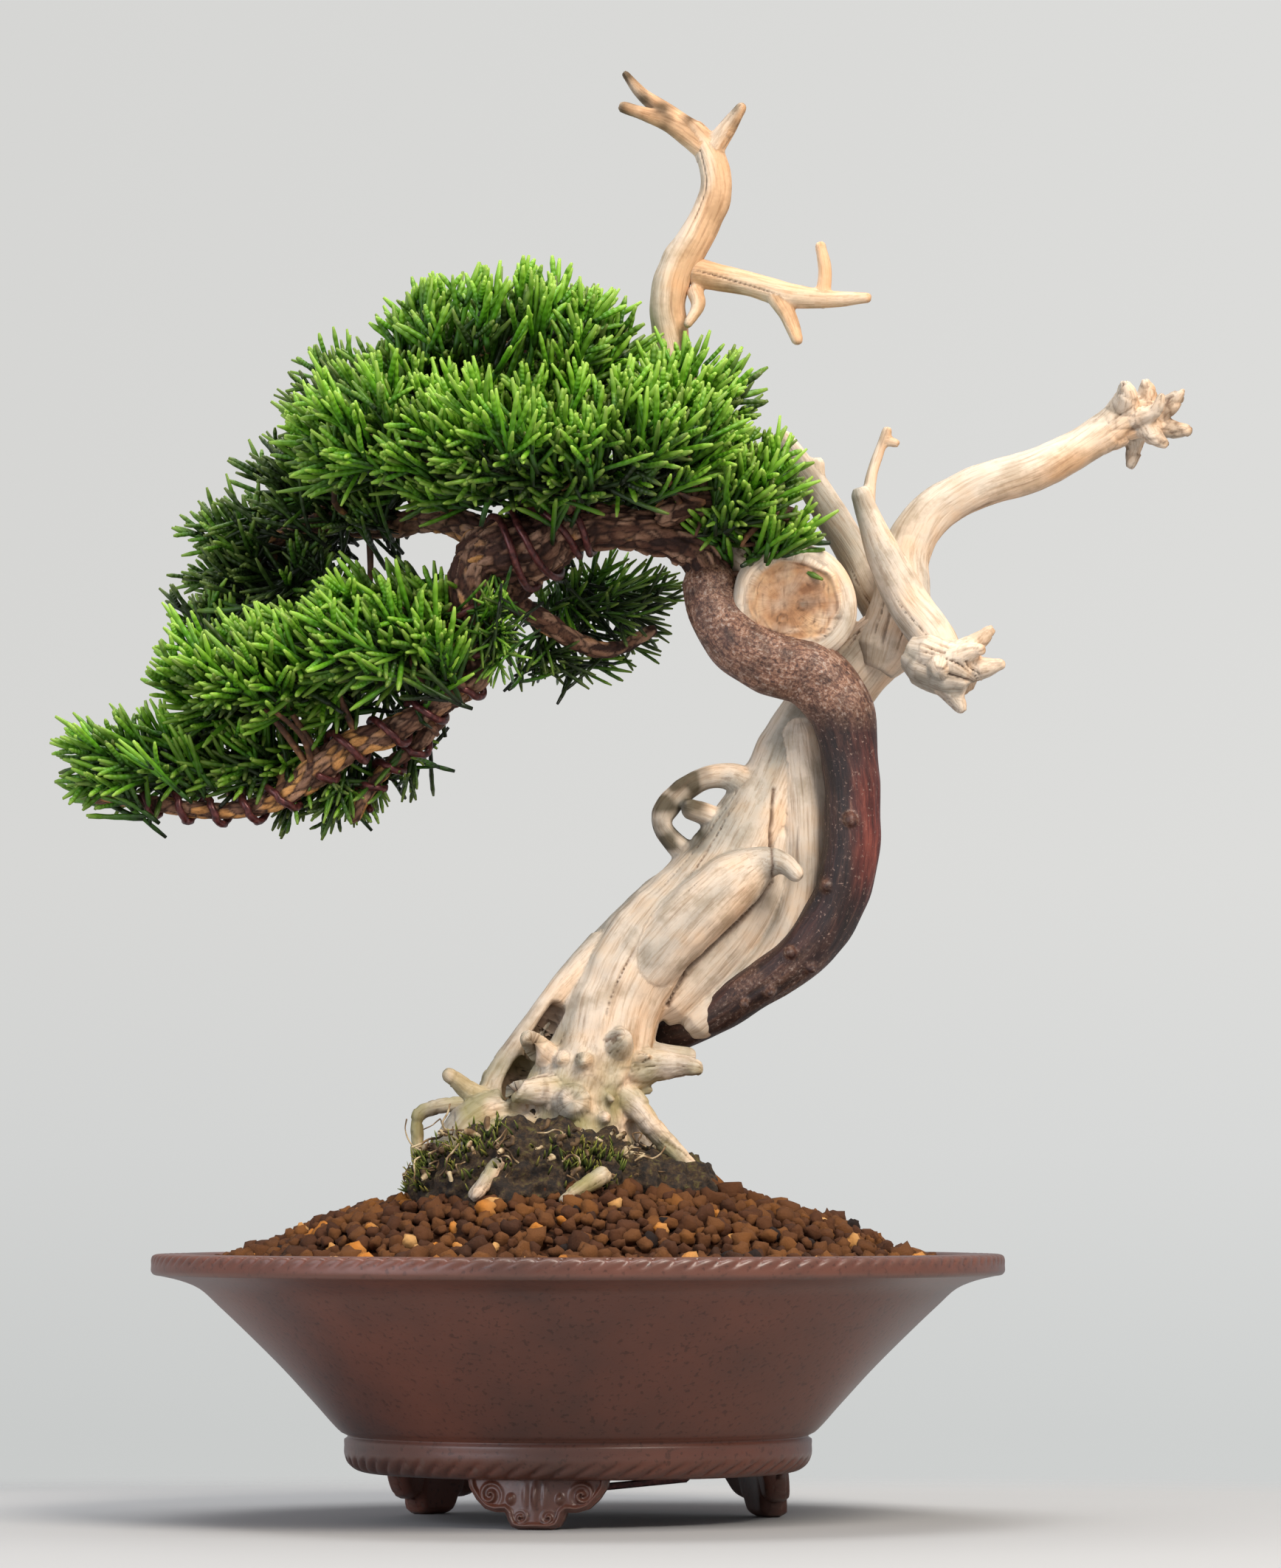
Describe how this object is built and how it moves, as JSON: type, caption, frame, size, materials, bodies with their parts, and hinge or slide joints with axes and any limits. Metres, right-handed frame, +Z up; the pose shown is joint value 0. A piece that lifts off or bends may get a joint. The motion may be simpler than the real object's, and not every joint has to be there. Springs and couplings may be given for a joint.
{
  "type": "bonsai tree in a pot",
  "caption": "Leaning juniper bonsai with bleached deadwood, a live vein and wired foliage pads, in a round flared clay pot on scrolled feet.",
  "frame": {"origin": "on the surface the pot stands on, under the middle of the object's box", "axes": "+Z up, +X to the right seen from the tree's front, +Y away from its front"},
  "size_m": [0.2154, 0.16, 0.2726],
  "materials": {
    "clay": "satin",
    "net": "matte",
    "wire": "satin",
    "vein_bark": "satin",
    "branch_bark": "matte",
    "deadwood": "matte",
    "muck": "matte",
    "soil": "matte",
    "moss": "matte",
    "foliage": "satin"
  },
  "bodies": {
    "root": {"pot_bowl": "clay", "foot_front": "clay", "foot_back_left": "clay", "foot_back_right": "clay", "drain_net": "net", "net_clip_wire": "wire", "tie_down_wire": "wire", "wire_main_upper": "wire", "wire_main_lower": "wire", "wire_lower_branch": "wire", "wire_branch_tip": "wire", "wire_fork": "wire", "live_vein": "vein_bark", "main_branch": "branch_bark", "lower_branch": "branch_bark", "back_low_branch": "branch_bark", "fork_branch": "branch_bark", "apex_branch": "branch_bark", "back_left_branch": "branch_bark", "right_branch": "branch_bark", "front_branch": "branch_bark", "trunk_deadwood": "deadwood", "jin_right": "deadwood", "jin_front": "deadwood", "jin_knot": "deadwood", "jin_back": "deadwood", "jin_top": "deadwood", "jin_top_arm": "deadwood", "dead_root_right": "deadwood", "dead_root_left": "deadwood", "root_mound": "muck", "soil": "soil", "moss_front": "moss", "moss_front_right": "moss", "moss_left": "moss", "moss_back": "moss", "foliage_apex": "foliage", "foliage_middle_left": "foliage", "foliage_middle_right": "foliage", "foliage_back_left": "foliage", "foliage_lower": "foliage", "foliage_branch_tip": "foliage", "foliage_hanging": "foliage", "foliage_back_low": "foliage", "foliage_tuft": "foliage"}
  },
  "joints": []
}
